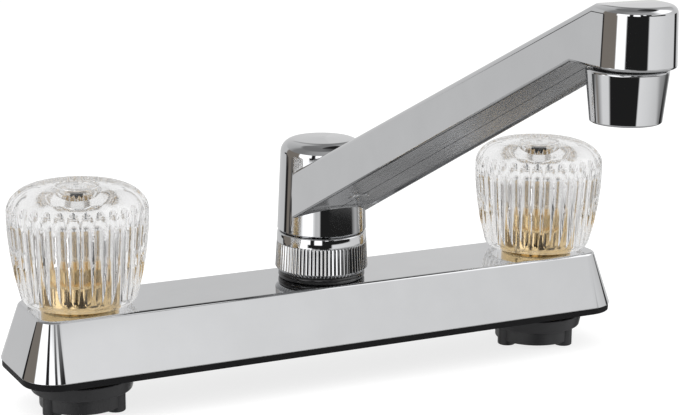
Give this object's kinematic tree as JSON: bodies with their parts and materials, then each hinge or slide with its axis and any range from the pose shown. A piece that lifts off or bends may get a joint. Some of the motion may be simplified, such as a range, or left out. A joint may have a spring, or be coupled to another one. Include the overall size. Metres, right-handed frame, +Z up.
{
  "type": "two handle kitchen faucet",
  "caption": "Two handle kitchen faucet: chrome deck cover, swing spout with aerator, ribbed ring nut, clear fluted knobs on brass stems and black mounting nuts.",
  "frame": {"origin": "middle of the gasket face that rests on the sink deck, on the spout's swivel axis", "axes": "+X along the deck towards the cold side, -Y to the front where the spout points, +Z up"},
  "size_m": [0.258, 0.2454, 0.1738],
  "materials": {
    "chrome": "polished plating",
    "brass": "machined",
    "copper": "drawn tube",
    "black_plastic": "moulded",
    "black_rubber": "moulded",
    "clear_acrylic": "clear, polished",
    "steel": "stainless",
    "white_nylon": "moulded"
  },
  "bodies": {
    "faucet_body": {"deck_cover": "chrome", "base_gasket": "black_plastic", "hot_valve_body": "brass", "cold_valve_body": "brass", "hot_cross_tube": "copper", "cold_cross_tube": "copper", "spout_post": "brass", "post_o_rings": "black_rubber", "hot_seat": "black_rubber", "cold_seat": "black_rubber", "hot_seat_spring": "steel", "cold_seat_spring": "steel", "hot_bonnet": "brass", "cold_bonnet": "brass", "hot_wing_nut": "black_plastic", "cold_wing_nut": "black_plastic", "spout_nut": "chrome", "spout_washer": "black_rubber"},
    "spout": {"spout": "chrome", "spout_retainer": "brass", "aerator_shell": "chrome", "aerator_washer": "black_rubber", "aerator_insert": "white_nylon", "aerator_screen": "steel"},
    "hot_handle": {"hot_stem": "brass", "hot_stem_o_ring": "black_rubber", "hot_knob": "clear_acrylic", "hot_knob_screw": "steel", "hot_index_button": "clear_acrylic"},
    "cold_handle": {"cold_stem": "brass", "cold_stem_o_ring": "black_rubber", "cold_knob": "clear_acrylic", "cold_knob_screw": "steel", "cold_index_button": "clear_acrylic"}
  },
  "joints": [
    {"name": "spout_swivel", "type": "hinge", "parent": "faucet_body", "child": "spout", "pos_m": [0, 0, 0], "axis": [0, 0, 1], "continuous": true},
    {"name": "hot_valve_turn", "type": "hinge", "parent": "faucet_body", "child": "hot_handle", "pos_m": [-0.1016, 0, 0], "axis": [0, 0, 1], "range_deg": [0, 90]},
    {"name": "cold_valve_turn", "type": "hinge", "parent": "faucet_body", "child": "cold_handle", "pos_m": [0.1016, 0, 0], "axis": [0, 0, 1], "range_deg": [-90, 0]}
  ]
}
